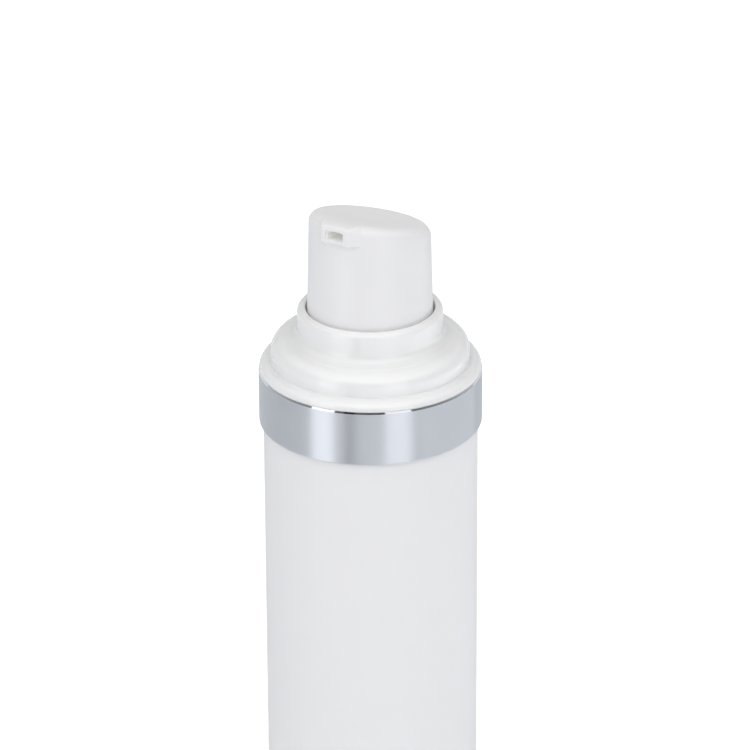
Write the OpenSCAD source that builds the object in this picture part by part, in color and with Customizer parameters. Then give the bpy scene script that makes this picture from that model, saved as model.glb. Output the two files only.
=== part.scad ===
// Airless pump bottle of 50 ml: a press button over a pump engine, a stepped shoulder
// collar, a bright trim ring and a straight barrel in which a follower piston rises.
// Millimetres. +Z is up, the origin is the centre of the foot, the nozzle points to -Y.

/* [Barrel] */
// Outside diameter of the barrel
barrel_d = 35.6; // [33.6:0.2:42]
// Height of the barrel from its foot to the ledge that carries the shoulder
barrel_h = 83.2; // [60:0.4:120]
// Wall thickness of the barrel
barrel_wall = 1.6; // [1.2:0.1:1.8]
// Thickness of the deck that joins the barrel to its neck
barrel_deck = 1.6; // [1.2:0.1:2.4]
// Inside chamfer under that deck
deck_chamfer = 0.8; // [0.4:0.1:1]
// Rounding of the foot's outer edge
foot_round = 0.6; // [0.2:0.1:0.8]
// Wall thickness of the neck
neck_wall = 1.8; // [1.4:0.1:2.4]
// How far the neck's snap bead stands out
neck_bead = 0.45; // [0.2:0.05:0.6]

/* [Base plug] */
// How deep the plug sits inside the foot
plug_recess = 0.6; // [0.3:0.1:1.2]
// Height of the plug's ring wall
plug_h = 3.4; // [2.8:0.1:5]
// Thickness of the plug's ring wall
plug_wall = 1.35; // [1:0.05:2]
// Thickness of the plug's plate
plug_plate = 1.2; // [0.8:0.1:1.6]
// Diameter of the hole that lets air in behind the follower
vent_d = 1.6; // [1:0.1:3]

/* [Follower piston] */
// Height of the follower over both lips
follower_h = 14; // [11:0.5:18]
// Wall thickness of the follower
follower_wall = 1.2; // [0.8:0.1:1.5]
// How far the two sealing lips stand out from the follower's sleeve
follower_lip = 0.65; // [0.3:0.05:0.8]
// Depth of the cup that clears the pump's nose at the top of the travel
follower_cup = 8.9; // [7:0.1:9]
// Gap between the follower at rest and the base plug
follower_rest = 0.2; // [0.1:0.05:1]

/* [Pump engine] */
// Stroke of the press button
stroke = 5; // [3:0.5:6]
// Bore of the metering chamber
chamber_d = 11; // [10.8:0.1:12.4]
// Wall thickness of the metering chamber
chamber_wall = 1.1; // [0.8:0.1:1.4]
// Thickness of the chamber's clamped flange
flange_t = 1.2; // [1:0.1:1.6]
// Thickness of the neck gasket
gasket_t = 0.8; // [0.5:0.1:1.2]
// Length of the plug skirt that enters the neck
skirt_h = 2.8; // [1.6:0.1:4]
// Wall thickness of that plug skirt
skirt_wall = 1.15; // [0.8:0.05:1.6]
// Diameter of the inlet hole
inlet_d = 2.2; // [1.6:0.1:2.4]
// Diameter of the inlet ball
ball_d = 3.5; // [3.3:0.1:3.8]
// Lift of the inlet ball off its seat
ball_lift = 1; // [0.6:0.1:1.4]
// Height of the ball cage
cage_h = 2; // [1.8:0.1:3]
// Thickness of the cage's cross bars
cage_bar = 1; // [0.6:0.1:1.2]
// Outside diameter of the stem
stem_d = 5.5; // [5.4:0.1:5.8]
// Bore of the stem
stem_bore = 3.2; // [2.6:0.1:3.3]
// Length of the stem above the spring's upper seat
stem_seat = 2; // [1.2:0.1:3]
// Free travel between stem and pump piston, which opens the outlet ports
valve_lag = 0.8; // [0.4:0.1:1.2]
// Diameter of the outlet ports above the stem's tip flange
port_d = 1.2; // [0.8:0.1:1.4]
// Height of the pump piston's hub
hub_h = 4.6; // [4:0.1:6]

/* [Return spring] */
// Wire diameter of the spring
spring_wire = 0.8; // [0.6:0.05:0.9]
// Number of turns
spring_turns = 7.5; // [6:0.5:8]
// Length of the spring with the button up
spring_l = 16.2; // [14.4:0.2:17]

/* [Closure ring] */
// Wall thickness of the closure ring
closure_wall = 1.55; // [1.2:0.05:2]
// Thickness of the closure ring's deck
closure_deck = 1.2; // [0.8:0.1:1.6]
// Height of the stem guide's body below its flange
guide_plug_h = 3.2; // [2.4:0.1:4.2]
// Thickness of the stem guide's floor under the spring
guide_floor = 1.4; // [1:0.1:1.8]
// Thickness of the stem guide's flange
guide_flange = 0.8; // [0.6:0.1:1.2]

/* [Trim ring] */
// Height of the trim ring
ring_h = 9.5; // [8.4:0.1:12]
// Wall thickness of the trim ring
ring_wall = 0.5; // [0.4:0.05:0.8]
// How far the trim ring reaches down over the barrel
ring_over = 1.2; // [0.6:0.1:2]
// Height of the bevel along the ring's top edge
ring_bevel_h = 0.32; // [0.1:0.02:0.4]
// How far that bevel leans in
ring_bevel = 0.14; // [0.06:0.02:0.3]
// Rounding of the ring's bottom edge
ring_round = 0.35; // [0.1:0.05:0.4]

/* [Shoulder collar] */
// Wall thickness of the collar's shell
shell_wall = 1.25; // [1:0.05:1.4]
// Height of the rim above the trim ring
rim_h = 1.55; // [1.5:0.05:2.2]
// Width of the rim's ledge round the dome
rim_w = 1.9; // [1.6:0.05:2.4]
// Rounding of the rim's outer edge
rim_round = 1.5; // [0.4:0.05:1.6]
// Height of the dome's top above the trim ring
dome_h = 5.7; // [5.3:0.05:7]
// Rounding of the dome's outer edge
dome_round = 2.8; // [1:0.1:2.8]
// Height of the sleeve's lip above the trim ring
collar_h = 10.95; // [9.6:0.05:13]
// Wall thickness of the sleeve round the button
sleeve_wall = 1.38; // [1:0.02:1.5]
// Gap between the sleeve's lip and the button
sleeve_gap = 0.3; // [0.25:0.05:0.6]
// Fillet between the dome and the sleeve
sleeve_fillet = 1.55; // [0.4:0.05:1.6]

/* [Button] */
// Diameter of the button at its skirt
head_d = 20.9; // [19.8:0.1:21.4]
// Draft of the button's wall, in degrees
head_draft = 1.4; // [0.5:0.1:1.6]
// Height of the button above the sleeve's lip, on the axis
head_rise = 15.8; // [14:0.05:18]
// Length of the skirt that the sleeve hides
head_hide = 4; // [3:0.1:4.4]
// Wall thickness of the button
head_wall = 1.3; // [1:0.05:1.5]
// Slope of the button's top, in degrees
head_slope = 14.6; // [10:0.1:16]
// Rounding of the button's upper edge
head_round = 2.1; // [1:0.1:2.4]
// Depth of the finger dish in the button's top
head_dish = 0.4; // [0.1:0.05:0.6]
// Width of the nozzle's face
nozzle_w = 5; // [4.6:0.1:6]
// How far the nozzle's face stands out from the wall
nozzle_proud = 0.6; // [0.4:0.05:1.2]
// Height of the nozzle's face
nozzle_h = 3.15; // [2.9:0.05:3.4]
// Rounding of the nozzle's upper edge
nozzle_round = 0.4; // [0.3:0.05:0.7]
// How far the button's top dips towards the nozzle's upper edge
brow_drop = 0.9; // [0.4:0.05:1.1]
// Length of that dip
brow_run = 3; // [2:0.1:4]
// Height over which the wall leans out to the nozzle's lower edge
ledge_lean = 0.85; // [0.3:0.05:1.2]
// Width of the outlet
outlet_w = 3; // [1.8:0.1:3.2]
// Height of the outlet
outlet_h = 1.45; // [1:0.05:1.8]
// Depth of the outlet's centre below the nozzle's upper edge
outlet_drop = 1.7; // [1.5:0.05:1.8]

/* [Hidden] */
$fn = 96;
// Facets of a quarter arc in a turned profile
arc_steps = 6;
// Length that a cut runs past a face
past = 1;

// Radial gaps of the fits
run_gap = 0.03;
guide_gap = 0.05;
snug_gap = 0.05;
snap_gap = 0.15;
free_gap = 0.2;
// Gap between faces of different moving bodies that meet at a stop
stop_gap = 0.03;
// Gap that stays between moving parts at the end of their travel
end_gap = 0.4;
// Height and depth of the small snap beads and of the grooves that take them
bead_t = 0.15;
bead_h = 0.6;
groove_room = 0.15;
// Lead-in chamfers
lead = 0.3;

// Radii of the barrel, its neck, the closure and the collar, from the outside in
barrel_r = barrel_d / 2;
barrel_in = barrel_r - barrel_wall;
ring_in = barrel_r + free_gap;
ring_r = ring_in + ring_wall;
collar_skirt_r = ring_in - snug_gap;
collar_skirt_in = collar_skirt_r - shell_wall + 0.1;
closure_r = collar_skirt_in - 0.1;
closure_in = closure_r - closure_wall;
neck_r = closure_in - snap_gap;
neck_in = neck_r - neck_wall;

// Radii of the pump, from the axis out
stem_r = stem_d / 2;
socket_r = stem_r + run_gap;
socket_wall = 1.3;
boss_r = socket_r + socket_wall;
spring_r = boss_r + 0.27 + spring_wire / 2 + 0.4;
guide_in = stem_r + guide_gap;
guide_tube_r = guide_in + 0.9;
well_r = spring_r + spring_wire / 2 + 0.75;
guide_plug_r = well_r + 0.65;
throat_r = guide_plug_r + snug_gap;
mouth_r = throat_r + 1.2;
chamber_in = chamber_d / 2;
chamber_r = chamber_in + chamber_wall;
piston_lip_r = chamber_in - run_gap;
piston_out = piston_lip_r - 0.22;
piston_in = piston_out - 0.65;
tip_flange_r = piston_in - 0.4;
hub_r = tip_flange_r - 0.3;
cage_bore = chamber_in - chamber_wall;
nose_wall = 1.3;
ball_r = ball_d / 2;
ball_guide = ball_r + 0.25;

// Levels of the trim ring, the closure and the neck
z_ring0 = barrel_h - ring_over;
z_ring1 = z_ring0 + ring_h;
z_deck1 = z_ring1 + 0.3;
z_flange1 = z_deck1 - closure_deck;
z_flange0 = z_flange1 - flange_t;
z_neck1 = z_flange0 - gasket_t;
z_bead = z_neck1 - 1.9;
z_snap = barrel_h + 2.9;

// Levels of the collar and the button
z_rim1 = z_ring1 + rim_h;
z_dome1 = z_ring1 + dome_h;
z_sleeve1 = z_ring1 + collar_h;
z_ceiling = z_deck1 + free_gap;
z_skirt = z_sleeve1 - head_hide;
z_head1 = z_sleeve1 + head_rise;

// Levels of the pump, from its throat up and down
z_throat = z_flange1 + 0.8;
z_spring0 = z_throat + guide_floor;
z_mouth1 = z_throat + guide_plug_h;
z_guide1 = z_mouth1 + guide_flange;
z_boss = z_guide1 + stroke + 0.5;
z_spring1 = z_spring0 + spring_l;
z_stem1 = z_spring1 + stem_seat;
collar_t = 1.4;
z_collar1 = z_throat - 0.1;
z_collar0 = z_collar1 - collar_t;
z_hub1 = z_collar0 - valve_lag - stop_gap;
z_hub0 = z_hub1 - hub_h;
z_tip1 = z_hub0 - stop_gap;
z_tip0 = z_tip1 - 1.4;
z_joint = z_hub1 - 0.5;
spigot_h = 2;
z_cage1 = z_tip0 - stroke - end_gap;
z_cage0 = z_cage1 - cage_h;
z_ball = z_cage1 - cage_bar - 0.05 - ball_lift - ball_r;
z_inlet = z_ball - (ball_r + stop_gap) * sqrt(2) + inlet_d / 2;
z_nose = z_inlet - 1.2;

// Radii of the collar's dome and sleeve
rim_r = ring_r - 0.1;
dome_r = rim_r - rim_w;
sleeve_in = wall_r(z_sleeve1) + sleeve_gap;
sleeve_r = sleeve_in + sleeve_wall;
dome_edge = min(dome_round, 0.63 * (dome_r - sleeve_r));
fillet_r = min(sleeve_fillet, 0.36 * (dome_r - sleeve_r));
rim_edge = min(rim_round, rim_h - 0.05, rim_w - 0.3);

// Radius of the button's wall at a height
function wall_r(z) = head_d / 2 - (z - z_skirt) * tan(head_draft);
// Points of an arc about (x, y) from one angle to another
function arc(x, y, r, a0, a1, n = arc_steps) =
  [for (i = [0:n]) let (a = a0 + (a1 - a0) * i / n) [x + r * cos(a), y + r * sin(a)]];

// Barrel with its closing deck, its neck and the snap bead
module bottle_barrel() {
  color("whitesmoke") rotate_extrude() polygon(concat(
    arc(barrel_r - foot_round, foot_round, foot_round, -90, 0),
    [[barrel_r, barrel_h], [neck_r, barrel_h], [neck_r, z_bead], [neck_r + neck_bead, z_bead + neck_bead],
     [neck_r + neck_bead, z_bead + 0.8], [neck_r, z_bead + 1.25], [neck_r, z_neck1], [neck_in, z_neck1],
     [neck_in, barrel_h - barrel_deck], [barrel_in - deck_chamfer, barrel_h - barrel_deck],
     [barrel_in, barrel_h - barrel_deck - deck_chamfer]],
    groove(barrel_in, plug_recess + plug_h / 2),
    [[barrel_in, lead], [barrel_in + lead, 0]]));
}

// Groove in an inside wall of radius r, read downwards, centred on height z
function groove(r, z) = let (h = bead_h / 2 + groove_room, d = bead_t + snug_gap)
  [[r, z + h], [r + d, z + h - d], [r + d, z - h + d], [r, z - h]];
// Bead on an outside wall of radius r, read upwards, centred on height z
function bead(r, z) = [[r, z - bead_h / 2], [r + bead_t, z - bead_h / 2 + bead_t],
  [r + bead_t, z + bead_h / 2 - bead_t], [r, z + bead_h / 2]];

// Vented plug in the foot, with a ring wall that snaps into the barrel
module base_plug() {
  r = barrel_in - snug_gap;
  z0 = plug_recess;
  color("gainsboro") rotate_extrude() polygon(concat(
    [[vent_d / 2, z0 + 1], [r - plug_wall - 1.2, z0 + 1], [r - plug_wall, z0], [r, z0]],
    bead(r, z0 + plug_h / 2),
    [[r, z0 + plug_h - lead], [r - lead, z0 + plug_h], [r - plug_wall, z0 + plug_h],
     [r - plug_wall, z0 + 1 + plug_plate], [vent_d / 2, z0 + 1 + plug_plate]]));
}

// Follower with two sealing lips and a cup that clears the pump's nose
module follower_piston() {
  z0 = plug_recess + plug_h + follower_rest;
  z1 = z0 + follower_h;
  lip_r = barrel_in - snug_gap;
  sleeve = lip_r - follower_lip;
  inner = sleeve - follower_wall;
  cup = chamber_r + 1.7;
  web = z1 - 1.8;
  floor_z = web - follower_cup;
  color("ghostwhite") rotate_extrude() polygon([
    [0, floor_z - follower_wall], [cup + follower_wall, floor_z - follower_wall],
    [cup + follower_wall, web - follower_wall], [inner, web - follower_wall], [inner, z0 + 1.2],
    [lip_r - 0.5, z0], [lip_r, z0], [lip_r, z0 + 0.5], [sleeve, z0 + 1.8], [sleeve, z1 - 1.8],
    [lip_r, z1 - 0.5], [lip_r, z1], [lip_r - 0.5, z1], [inner, web],
    [cup + 0.6, web], [cup, web - 0.6], [cup, floor_z], [0, floor_z]]);
}

// Flat gasket between the neck and the chamber's flange
module neck_gasket() {
  color("lightgray") translate([0, 0, z_neck1]) difference() {
    cylinder(r = neck_r - free_gap, h = gasket_t);
    translate([0, 0, -past]) cylinder(r = neck_in, h = gasket_t + 2 * past);
  }
}

// Metering chamber with its flange, plug skirt, throat and inlet seat
module pump_chamber() {
  skirt_r = neck_in - snap_gap;
  cage_r = cage_bore + 1.2;
  color("white") rotate_extrude() polygon([[inlet_d / 2, z_nose], [ball_guide + nose_wall - lead, z_nose],
    [ball_guide + nose_wall, z_nose + lead], [ball_guide + nose_wall, z_cage0 - 1.8], [cage_r, z_cage0 - 0.8],
    [cage_r, z_cage1 - 0.6], [chamber_r, z_cage1 + 0.4], [chamber_r, z_flange0],
    [skirt_r - skirt_wall, z_flange0], [skirt_r - skirt_wall, z_flange0 - skirt_h],
    [skirt_r - lead, z_flange0 - skirt_h], [skirt_r, z_flange0 - skirt_h + 2 * lead], [skirt_r, z_flange0],
    [neck_r - free_gap, z_flange0], [neck_r - free_gap, z_flange1], [mouth_r, z_flange1],
    [mouth_r, z_mouth1], [throat_r, z_mouth1], [throat_r, z_throat], [chamber_in, z_throat],
    [chamber_in, z_cage1], [cage_bore, z_cage1], [cage_bore, z_cage0], [ball_guide, z_cage0],
    [ball_guide, z_inlet + ball_guide - inlet_d / 2], [inlet_d / 2, z_inlet]]);
}

// Pressed-in cage with cross bars that stop the inlet ball
module ball_cage() {
  open_r = ball_guide + 0.6;
  color("gainsboro") translate([0, 0, z_cage0]) {
    difference() {
      cylinder(r = cage_bore - snug_gap, h = cage_h);
      translate([0, 0, -past]) cylinder(r = open_r, h = cage_h + 2 * past);
    }
    for (turn = [0, 90]) rotate([0, 0, turn])
      translate([-open_r - 0.2, -0.4, cage_h - cage_bar]) cube([2 * open_r + 0.4, 0.8, cage_bar]);
  }
}

// Ball of the inlet valve
module inlet_ball() {
  color("silver") translate([0, 0, z_ball]) sphere(r = ball_r);
}

// Snap-on ring that clamps the flange on the neck
module closure_ring() {
  z0 = barrel_h + 0.5;
  room = neck_r + neck_bead + snap_gap;
  color("whitesmoke") rotate_extrude() polygon([[closure_in + lead, z0], [closure_r - lead, z0],
    [closure_r, z0 + lead], [closure_r, z_snap - 0.5], [closure_r - 0.3, z_snap - 0.2],
    [closure_r - 0.3, z_snap + 0.4], [closure_r, z_snap + 0.7], [closure_r, z_deck1 - lead],
    [closure_r - lead, z_deck1], [mouth_r + free_gap, z_deck1], [mouth_r + free_gap, z_flange1],
    [closure_in, z_flange1], [closure_in, z_bead + 1.7], [room, z_bead + 1.25], [room, z_bead + 0.3],
    [closure_in, z_bead - 0.2], [closure_in, z0 + lead]]);
}

// Guide in the chamber's throat: the stem's bearing and the spring's lower seat
module stem_guide() {
  color("white") rotate_extrude() polygon([[guide_in, z_throat], [guide_plug_r, z_throat],
    [guide_plug_r, z_mouth1], [mouth_r, z_mouth1], [mouth_r, z_guide1], [well_r, z_guide1],
    [well_r, z_spring0], [guide_tube_r, z_spring0], [guide_tube_r, z_guide1], [guide_in, z_guide1]]);
}

// Return spring with closed end turns
module return_spring() {
  sides = 6;
  rings = ceil(spring_turns * 12);
  end_pitch = spring_wire + 0.45;
  length = spring_l - spring_wire - 2 * stop_gap;
  pitch = (length - 2 * end_pitch) / (spring_turns - 2);
  function rise(t) = min(t, 1) * end_pitch + max(0, min(t - 1, spring_turns - 2)) * pitch
    + max(0, t - spring_turns + 1) * end_pitch;
  points = [for (i = [0:rings]) let (t = spring_turns * i / rings) for (k = [0:sides - 1])
    let (r = spring_r + spring_wire / 2 * cos(360 * k / sides + 30))
    [r * cos(360 * t), r * sin(360 * t),
     z_spring0 + stop_gap + spring_wire / 2 + rise(t) + spring_wire / 2 * sin(360 * k / sides + 30)]];
  sides_faces = [for (i = [0:rings - 1]) for (k = [0:sides - 1])
    let (a = i * sides + k, b = i * sides + (k + 1) % sides)
      each [[a, b, b + sides], [a, b + sides, a + sides]]];
  caps = [[for (k = [sides - 1:-1:0]) k], [for (k = [0:sides - 1]) rings * sides + k]];
  color("silver") polyhedron(points, concat(sides_faces, caps));
}

// Hollow stem with the collar that pushes the pump piston
module stem() {
  spigot_bore = stem_bore / 2 + 0.45;
  color("white") rotate_extrude() polygon([[spigot_bore, z_joint], [stem_r, z_joint], [stem_r, z_collar0],
    [hub_r, z_collar0], [hub_r, z_collar1], [stem_r, z_collar1], [stem_r, z_stem1 - lead],
    [stem_r - lead, z_stem1], [stem_bore / 2, z_stem1], [stem_bore / 2, z_joint + spigot_h + 0.1],
    [spigot_bore, z_joint + spigot_h + 0.1]]);
}

// Tip that plugs into the stem: valve flange and outlet ports
module stem_tip() {
  spigot_r = stem_bore / 2 + 0.45 - snug_gap;
  tip_bore = spigot_r - 0.8;
  z_port = z_tip1 + port_d / 2 + 0.15;
  color("gainsboro") difference() {
    rotate_extrude() polygon([[0, z_tip0], [tip_flange_r - 0.5, z_tip0], [tip_flange_r, z_tip0 + 0.5],
      [tip_flange_r, z_tip1], [stem_r, z_tip1], [stem_r, z_joint], [spigot_r, z_joint],
      [spigot_r, z_joint + spigot_h], [tip_bore, z_joint + spigot_h], [tip_bore, z_tip1], [0, z_tip1]]);
    for (turn = [0, 90]) rotate([0, 0, turn]) translate([0, 0, z_port]) rotate([0, 90, 0])
      cylinder(r = port_d / 2, h = 2 * stem_r + 2 * past, center = true);
  }
}

// Pump piston with its valve hub and two wall lips
module pump_piston() {
  z0 = z_hub0 - 1;
  z1 = z_hub1 + 1.1;
  web0 = z_hub0 + 1.2;
  web1 = web0 + 1.2;
  port_room = stem_r + 0.35;
  z_room = z_hub0 + port_d + 0.5;
  color("aliceblue") rotate_extrude() polygon([[port_room, z_hub0], [hub_r, z_hub0], [hub_r, web0],
    [piston_in, web0], [piston_in, z0], [piston_lip_r, z0], [piston_lip_r, z0 + 0.5], [piston_out, z0 + 1.2],
    [piston_out, z1 - 1.2], [piston_lip_r, z1 - 0.5], [piston_lip_r, z1], [piston_in, z1], [piston_in, web1],
    [hub_r, web1], [hub_r, z_hub1], [socket_r, z_hub1], [socket_r, z_room], [port_room, z_room - 0.32]]);
}

nozzle_face = wall_r(z_head1) + nozzle_proud;
flare_w = nozzle_w / 2 + 1.7;
flare_d = sqrt(pow(wall_r(z_head1), 2) - pow(flare_w, 2));
face_a = atan(nozzle_w / 2 / nozzle_face);
flare_a = atan(flare_w / flare_d);

// Share of the nozzle in direction a from it: all of it over its face, none beyond its flare
function nosed_share(a) = let (t = min(1, max(0, (flare_a - abs(a)) / (flare_a - face_a))))
  t * t * (3 - 2 * t);
// Height of the sloped top at r millimetres from the axis in direction a, with its dip over the nozzle
function slope_z(r, a) = z_head1 + r * cos(a) * tan(head_slope)
  - brow_drop * nosed_share(a) * pow(max(0, r - nozzle_face + brow_run) / brow_run, 2);
nozzle_top = slope_z(nozzle_face, 0);
z_ledge = nozzle_top - nozzle_h;

// Distance from the axis to the nozzle's outline: its flat face, then the straight flare to the wall
function nozzle_r(a) = abs(a) <= face_a ? nozzle_face / cos(a)
  : let (w = nozzle_w / 2, dx = flare_w - w, dy = flare_d - nozzle_face)
    (w * dy - nozzle_face * dx) / (sin(abs(a)) * dy - cos(a) * dx);
// Radius of the button's outline at a height, with the nozzle
function outline_r(a, z) = abs(a) < flare_a ? nozzle_r(a) : wall_r(z);
// Edge rounding, small at the nozzle's face and full round the rest
function edge_r(a) = head_round + (nozzle_round - head_round) * nosed_share(a);

// Angles of the button's outline from the nozzle, closer together round it
half_angles = concat([for (i = [0:2]) face_a * i / 3], [for (i = [0:3]) face_a + (flare_a - face_a) * i / 4],
  [for (i = [0:30]) flare_a + (180 - flare_a) * i / 31]);
head_angles = concat(half_angles, [180], [for (i = [len(half_angles) - 1:-1:1]) -half_angles[i]]);

// One point of the button's skin at angle a: the skirt, the ledge, the rounded edge, then the dish
edge_steps = 6;
dish_steps = 6;
function wall_point(a, r, z) = [r * sin(a), -r * cos(a), z];
function edge_start(a) = slope_z(outline_r(a, z_head1), a) - edge_r(a);
function edge_point(a, step) = let (f = 90 * step / edge_steps, e = edge_r(a),
  r = outline_r(a, edge_start(a)) - e * (1 - cos(f))) wall_point(a, r, slope_z(r, a) - e * (1 - sin(f)));
function dish_point(a, s) = let (r = s * (outline_r(a, edge_start(a)) - edge_r(a)))
  wall_point(a, r, slope_z(r, a) - head_dish * pow(1 - s * s, 2));
function ledge_z(a, lean) = min(z_ledge - lean, edge_start(a) - 0.3 - lean);
head_rings = concat(
  [[for (a = head_angles) wall_point(a, wall_r(z_skirt), z_skirt)]],
  [[for (a = head_angles) let (z = ledge_z(a, ledge_lean)) wall_point(a, wall_r(z), z)]],
  [[for (a = head_angles) let (z = ledge_z(a, 0)) wall_point(a, outline_r(a, z), z)]],
  [for (step = [0:edge_steps]) [for (a = head_angles) edge_point(a, step)]],
  [for (i = [1:dish_steps - 1]) [for (a = head_angles) dish_point(a, 1 - i / dish_steps)]]);

// Solid through stacked closed rings of points, closed by a centre point at the top
module ring_stack(rings, top) {
  n = len(rings[0]);
  last = len(rings) - 1;
  points = concat([for (ring = rings) each ring], [top]);
  walls = [for (j = [0:last - 1]) for (k = [0:n - 1])
    let (a = j * n + k, b = j * n + (k + 1) % n) each [[a, b + n, b], [a, a + n, b + n]]];
  fan = [for (k = [0:n - 1]) [last * n + k, n * (last + 1), last * n + (k + 1) % n]];
  polyhedron(points, concat([[for (k = [0:n - 1]) k]], walls, fan));
}

// Press button: drafted skirt, sloped and dished top, nozzle, stem socket, ribs and outlet duct
module actuator() {
  roof = head_dish + 1.4;
  duct_z0 = z_head1 - roof - outlet_h / 2 + 0.3;
  duct_z1 = nozzle_top - outlet_drop;
  duct_slope = atan((duct_z1 - duct_z0) / nozzle_face);
  duct_wall = 1.1;
  rib_t = 1;
  color("white") difference() {
    ring_stack(head_rings, [0, 0, z_head1 - head_dish]);
    difference() {
      translate([0, 0, z_skirt - past]) cylinder(r1 = wall_r(z_skirt - past) - head_wall,
        r2 = wall_r(z_head1 + head_d) - head_wall, h = z_head1 + head_d - z_skirt + past);
      translate([0, 0, z_head1 - roof]) rotate([-head_slope, 0, 0])
        translate([-head_d, -head_d, 0]) cube([2 * head_d, 2 * head_d, 2 * head_d]);
      translate([0, 0, z_boss]) cylinder(r = boss_r, h = z_head1 + head_d - z_boss);
      for (turn = [0:60:300]) rotate([0, 0, turn])
        translate([0, -rib_t / 2, z_spring1]) cube([head_d, rib_t, head_d]);
      translate([0, 0, duct_z0]) rotate([-duct_slope, 0, 0])
        translate([-outlet_w / 2 - duct_wall, -head_d, -outlet_h / 2 - duct_wall])
        cube([outlet_w + 2 * duct_wall, head_d, head_d]);
    }
    translate([0, 0, z_boss - past]) cylinder(r = socket_r, h = z_stem1 + stop_gap - z_boss + past);
    translate([0, 0, z_boss - past]) cylinder(r1 = socket_r + 0.4 + past, r2 = socket_r, h = 0.4 + past);
    translate([0, 0, z_stem1]) cylinder(r = stem_bore / 2, h = duct_z0 - z_stem1);
    translate([0, 0, duct_z0]) rotate([-duct_slope, 0, 0])
      translate([-outlet_w / 2, -head_d, -outlet_h / 2]) cube([outlet_w, head_d + outlet_w / 2, outlet_h]);
  }
}

// Shoulder collar: skirt, rim, dome and the sleeve round the button, as one shell
module shoulder_collar() {
  dome_in = dome_r - shell_wall;
  inner_edge = max(0.2, dome_edge - shell_wall);
  crease = 0.25;
  lip_out = 0.75 * sleeve_wall;
  lip_in = 0.24 * sleeve_wall;
  color("white") rotate_extrude() polygon(concat(
    [[collar_skirt_in + lead, barrel_h], [collar_skirt_r, barrel_h],
     [collar_skirt_r, z_ring1], [rim_r, z_ring1]],
    arc(rim_r - rim_edge, z_rim1 - rim_edge, rim_edge, 0, 90),
    arc(dome_r + crease, z_rim1 + crease, crease, -90, -180, 3),
    arc(dome_r - dome_edge, z_dome1 - dome_edge, dome_edge, 0, 90),
    arc(sleeve_r + fillet_r, z_dome1 + fillet_r, fillet_r, -90, -180),
    arc(sleeve_r - lip_out, z_sleeve1 - lip_out, lip_out, 0, 90),
    arc(sleeve_in + lip_in, z_sleeve1 - lip_in, lip_in, 90, 180, 3),
    [[sleeve_in, z_dome1 - shell_wall]],
    arc(dome_in - inner_edge, z_dome1 - shell_wall - inner_edge, inner_edge, 90, 0),
    [[dome_in, z_ceiling], [collar_skirt_in, z_ceiling], [collar_skirt_in, z_snap + 0.4],
     [collar_skirt_in - 0.2, z_snap + 0.2], [collar_skirt_in - 0.2, z_snap], [collar_skirt_in, z_snap - 0.2],
     [collar_skirt_in, barrel_h + lead]]));
}

// Bright trim ring over the joint between barrel and collar
module trim_ring() {
  color("lightsteelblue") rotate_extrude() polygon(concat(
    arc(ring_r - ring_round, z_ring0 + ring_round, ring_round, -90, 0),
    [[ring_r, z_ring1 - ring_bevel_h], [ring_r - ring_bevel, z_ring1],
     [ring_in, z_ring1], [ring_in, z_ring0]]));
}

bottle_barrel();
base_plug();
follower_piston();
neck_gasket();
pump_chamber();
ball_cage();
inlet_ball();
closure_ring();
stem_guide();
return_spring();
stem();
stem_tip();
pump_piston();
actuator();
shoulder_collar();
trim_ring();
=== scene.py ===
import math

import bpy
import numpy as np
from bpy.props import FloatProperty, FloatVectorProperty, IntProperty, PointerProperty
from mathutils import Matrix, Quaternion, Vector


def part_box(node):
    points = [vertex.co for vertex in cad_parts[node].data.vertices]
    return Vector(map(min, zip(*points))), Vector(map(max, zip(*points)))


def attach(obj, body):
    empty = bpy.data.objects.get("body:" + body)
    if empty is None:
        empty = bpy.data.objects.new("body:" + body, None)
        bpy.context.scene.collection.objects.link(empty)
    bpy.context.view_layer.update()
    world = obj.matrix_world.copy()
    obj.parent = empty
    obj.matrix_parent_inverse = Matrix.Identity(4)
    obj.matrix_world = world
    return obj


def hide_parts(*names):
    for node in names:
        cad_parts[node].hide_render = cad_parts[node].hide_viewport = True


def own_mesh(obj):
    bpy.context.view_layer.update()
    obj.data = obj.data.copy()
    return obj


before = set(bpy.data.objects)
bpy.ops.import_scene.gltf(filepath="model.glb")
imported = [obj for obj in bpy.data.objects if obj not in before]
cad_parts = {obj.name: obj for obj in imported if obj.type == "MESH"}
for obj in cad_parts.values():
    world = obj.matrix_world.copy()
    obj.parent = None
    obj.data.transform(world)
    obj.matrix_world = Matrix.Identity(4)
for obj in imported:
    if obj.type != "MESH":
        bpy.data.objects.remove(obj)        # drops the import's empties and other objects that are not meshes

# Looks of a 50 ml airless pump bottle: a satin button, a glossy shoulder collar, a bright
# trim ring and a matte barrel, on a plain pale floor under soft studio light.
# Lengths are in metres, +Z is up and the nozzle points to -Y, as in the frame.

bl_info = {
    "name": "Airless pump bottle",
    "version": (1, 0, 0),
    "blender": (4, 5, 0),
    "location": "View3D > Sidebar > Bottle",
    "description": "Surfaces, finishes and studio of an airless pump bottle",
    "category": "Add Mesh",
}

MM = 0.001
DEG = math.pi / 180
PHOTO_SIZE = 750                           # pixels, width and height of the picture
PAINTED_GLOW_TINT = (0.95, 1.0, 0.88, 1.0)      # tint of the painted glow, an emission standing in for light that has come through a thin white wall
PATCH = 9                                  # mm, size of the slow changes over a moulded skin
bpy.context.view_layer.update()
BOX = {node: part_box(node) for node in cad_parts}


def srgb(text):
    """Linear colour of an sRGB hex value: each channel decoded by the sRGB curve."""
    channels = [int(text[i:i + 2], 16) / 255 for i in (1, 3, 5)]
    return tuple(c / 12.92 if c <= 0.04045 else ((c + 0.055) / 1.055) ** 2.4 for c in channels)


def length(name, description, millimetres):
    """Property for a length, stored in metres."""
    return FloatProperty(name=name, description=description, default=millimetres * MM, min=0.0,
                         precision=5, unit="LENGTH")


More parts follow.
